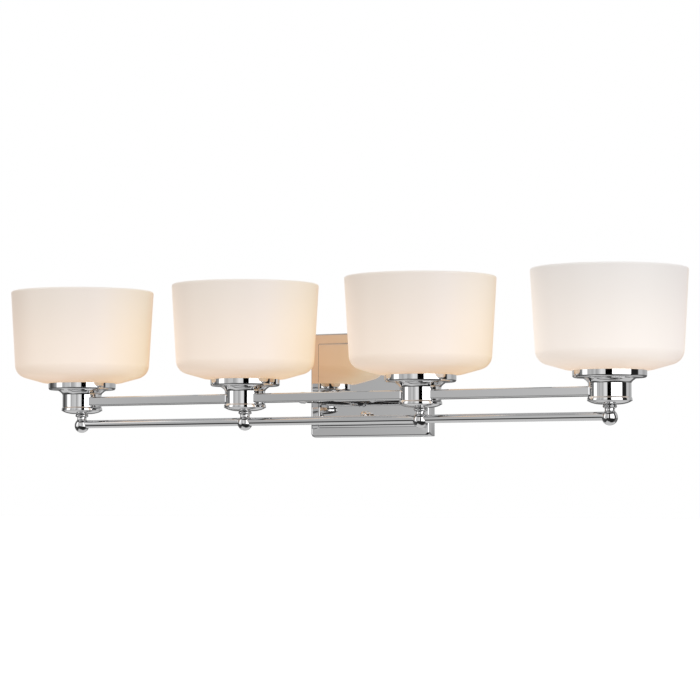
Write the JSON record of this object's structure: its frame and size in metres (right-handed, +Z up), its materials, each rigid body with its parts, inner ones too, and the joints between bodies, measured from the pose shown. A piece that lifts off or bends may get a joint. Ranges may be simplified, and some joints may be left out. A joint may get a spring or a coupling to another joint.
{
  "type": "vanity light bar",
  "caption": "Bathroom vanity light: flared opal glass shades on a flat chromed bar with a round lower rod and ball finials, held off a two-tier wall plate by arms.",
  "frame": {"origin": "centre of the wall plate and of the outlet-box slots, on the wall surface", "axes": "+X along the bar, +Y into the wall, +Z up; the light faces -Y"},
  "size_m": [0.808, 0.177, 0.1654],
  "materials": {
    "chrome": "polished",
    "opal_glass": "satin opal white, lit from inside",
    "frosted_glass": "frosted, lit",
    "socket_ceramic": "gloss",
    "ring_plastic": "moulded",
    "brass": "bright",
    "cap_metal": "rolled",
    "zinc": "zinc plated",
    "green_screw": "green dyed zinc",
    "copper": "bare copper",
    "black_insulation": "extruded",
    "white_insulation": "extruded"
  },
  "bodies": {
    "fixture": {"wall_plate": "chrome", "mounting_bracket": "zinc", "bracket_studs": "zinc", "ground_screw": "green_screw", "ground_wire": "copper", "arm_left": "chrome", "arm_right": "chrome", "arm_collars": "chrome", "arm_lock_washers": "zinc", "arm_lock_nuts": "zinc", "upper_bar": "chrome", "lower_rod": "chrome", "lamp_nipples": "zinc", "lamp_lock_nuts": "zinc", "centre_contacts": "brass", "line_wires": "black_insulation", "neutral_wires": "white_insulation", "socket_housing_1": "chrome", "socket_housing_2": "chrome", "socket_housing_3": "chrome", "socket_housing_4": "chrome", "shade_cup_1": "chrome", "shade_cup_2": "chrome", "shade_cup_3": "chrome", "shade_cup_4": "chrome", "glass_shade_1": "opal_glass", "glass_shade_2": "opal_glass", "glass_shade_3": "opal_glass", "glass_shade_4": "opal_glass", "lamp_socket_1": "socket_ceramic", "lamp_socket_2": "socket_ceramic", "lamp_socket_3": "socket_ceramic", "lamp_socket_4": "socket_ceramic", "screw_shell_1": "brass", "screw_shell_2": "brass", "screw_shell_3": "brass", "screw_shell_4": "brass", "ball_finial_1": "chrome", "ball_finial_2": "chrome", "ball_finial_3": "chrome", "ball_finial_4": "chrome"},
    "ring_1": {"retaining_ring_1": "ring_plastic"},
    "bulb_1": {"bulb_cap_1": "cap_metal", "bulb_globe_1": "frosted_glass"},
    "ring_2": {"retaining_ring_2": "ring_plastic"},
    "bulb_2": {"bulb_cap_2": "cap_metal", "bulb_globe_2": "frosted_glass"},
    "ring_3": {"retaining_ring_3": "ring_plastic"},
    "bulb_3": {"bulb_cap_3": "cap_metal", "bulb_globe_3": "frosted_glass"},
    "ring_4": {"retaining_ring_4": "ring_plastic"},
    "bulb_4": {"bulb_cap_4": "cap_metal", "bulb_globe_4": "frosted_glass"},
    "nut_upper": {"cap_nut_upper": "chrome"},
    "nut_lower": {"cap_nut_lower": "chrome"}
  },
  "joints": [
    {"name": "bulb_1_lift", "type": "slide", "parent": "fixture", "child": "bulb_1", "axis": [0, 0, 1], "range_m": [0, 0.12]},
    {"name": "ring_1_turn", "type": "hinge", "parent": "fixture", "child": "ring_1", "pos_m": [-0.324, -0.097, 0.0114], "axis": [0, 0, 1], "range_deg": [0, 990]},
    {"name": "bulb_2_lift", "type": "slide", "parent": "fixture", "child": "bulb_2", "axis": [0, 0, 1], "range_m": [0, 0.12]},
    {"name": "ring_2_turn", "type": "hinge", "parent": "fixture", "child": "ring_2", "pos_m": [-0.108, -0.097, 0.0114], "axis": [0, 0, 1], "range_deg": [0, 990]},
    {"name": "bulb_3_lift", "type": "slide", "parent": "fixture", "child": "bulb_3", "axis": [0, 0, 1], "range_m": [0, 0.12]},
    {"name": "ring_3_turn", "type": "hinge", "parent": "fixture", "child": "ring_3", "pos_m": [0.108, -0.097, 0.0114], "axis": [0, 0, 1], "range_deg": [0, 990]},
    {"name": "bulb_4_lift", "type": "slide", "parent": "fixture", "child": "bulb_4", "axis": [0, 0, 1], "range_m": [0, 0.12]},
    {"name": "ring_4_turn", "type": "hinge", "parent": "fixture", "child": "ring_4", "pos_m": [0.324, -0.097, 0.0114], "axis": [0, 0, 1], "range_deg": [0, 990]},
    {"name": "cap_nut_upper_turn", "type": "hinge", "parent": "fixture", "child": "nut_upper", "pos_m": [0, -0.02, 0.0335], "axis": [0, -1, 0], "range_deg": [0, 1710]},
    {"name": "cap_nut_lower_turn", "type": "hinge", "parent": "fixture", "child": "nut_lower", "pos_m": [0, -0.02, -0.0335], "axis": [0, -1, 0], "range_deg": [0, 1710]}
  ]
}
